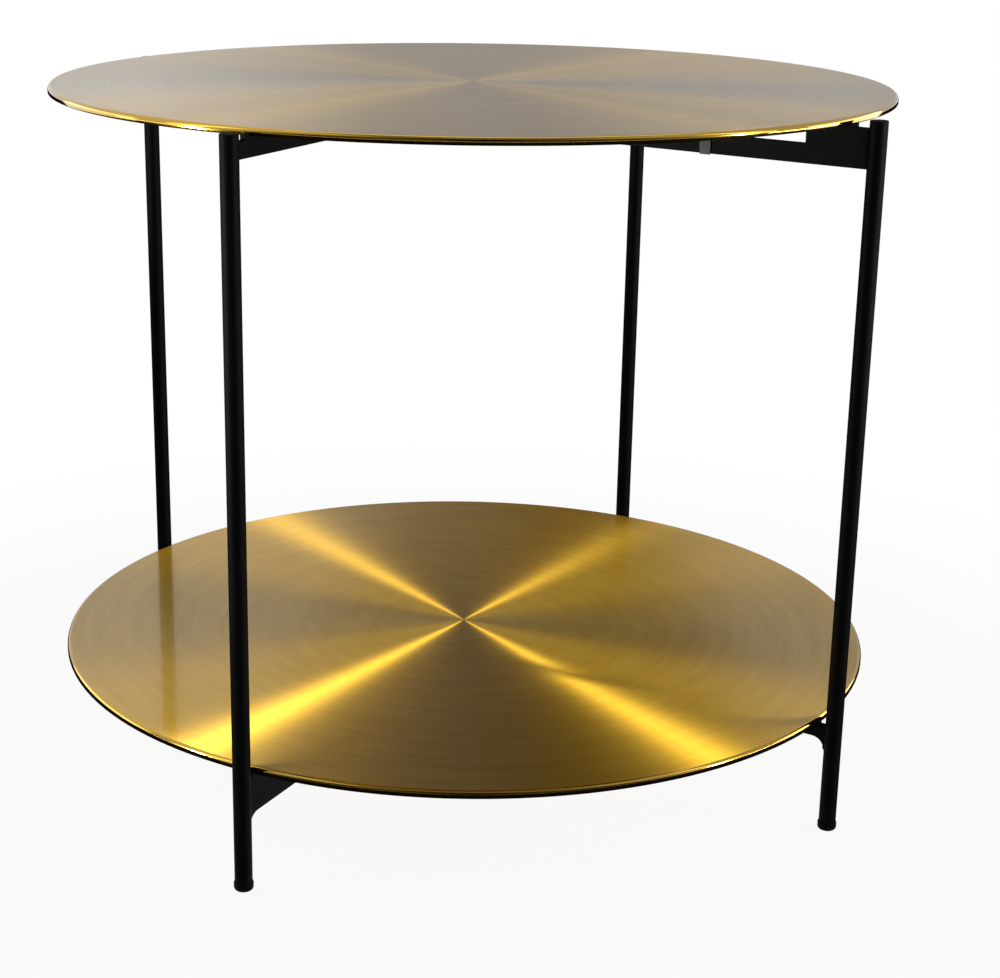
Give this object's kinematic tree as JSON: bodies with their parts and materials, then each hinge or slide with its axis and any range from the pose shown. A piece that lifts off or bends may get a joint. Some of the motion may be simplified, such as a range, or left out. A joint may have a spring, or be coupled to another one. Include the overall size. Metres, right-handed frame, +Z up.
{
  "type": "tiered side table",
  "caption": "Low round side table with a brass-finish tray top and a matching tray shelf, carried between slim black legs by crossing flat bars.",
  "frame": {"origin": "on the floor under the middle of the table top and the shelf", "axes": "+Z up; -Y towards the front, midway between the two front legs; +X to the right seen from the front"},
  "size_m": [0.6079, 0.608, 0.5],
  "materials": {
    "brushed_brass_sheet": "circular brushed, clear lacquered",
    "black_powder_coat": "satin black powder coat on steel",
    "black_plastic": "moulded, satin",
    "black_steel_fastener": "black oxide steel",
    "nylon_washer": "moulded nylon",
    "clear_silicone": "clear, slightly tacky"
  },
  "bodies": {
    "inner_frame": {"leg_front_right": "black_powder_coat", "leg_back_left": "black_powder_coat", "leg_cap_front_right": "black_plastic", "leg_cap_back_left": "black_plastic", "foot_glide_front_right": "black_plastic", "foot_glide_back_left": "black_plastic", "upper_bar_inner": "black_powder_coat", "lower_bar_inner": "black_powder_coat", "lower_pivot_bolt": "black_steel_fastener", "upper_pivot_thrust_washer": "nylon_washer", "upper_pivot_head_washer": "black_steel_fastener", "lower_pivot_thrust_washer": "nylon_washer", "lower_pivot_head_washer": "black_steel_fastener", "top_pad_front_right": "clear_silicone", "top_pad_back_left": "clear_silicone", "shelf_pad_front_right": "clear_silicone", "shelf_pad_back_left": "clear_silicone"},
    "outer_frame": {"leg_front_left": "black_powder_coat", "leg_back_right": "black_powder_coat", "leg_cap_front_left": "black_plastic", "leg_cap_back_right": "black_plastic", "foot_glide_front_left": "black_plastic", "foot_glide_back_right": "black_plastic", "upper_bar_outer": "black_powder_coat", "lower_bar_outer": "black_powder_coat", "upper_pivot_bolt": "black_steel_fastener", "top_pad_front_left": "clear_silicone", "top_pad_back_right": "clear_silicone", "shelf_pad_front_left": "clear_silicone", "shelf_pad_back_right": "clear_silicone"},
    "top": {"table_top": "brushed_brass_sheet"},
    "lower_shelf": {"shelf": "brushed_brass_sheet"}
  },
  "joints": [
    {"name": "frame_fold", "type": "hinge", "parent": "inner_frame", "child": "outer_frame", "pos_m": [0, 0, 0], "axis": [0, 0, 1], "range_deg": [-92, 78]},
    {"name": "top_lift", "type": "slide", "parent": "inner_frame", "child": "top", "axis": [0, 0, 1], "range_m": [0, 0.06]},
    {"name": "shelf_lift", "type": "slide", "parent": "inner_frame", "child": "lower_shelf", "axis": [0, 0, 1], "range_m": [0, 0.37]}
  ]
}
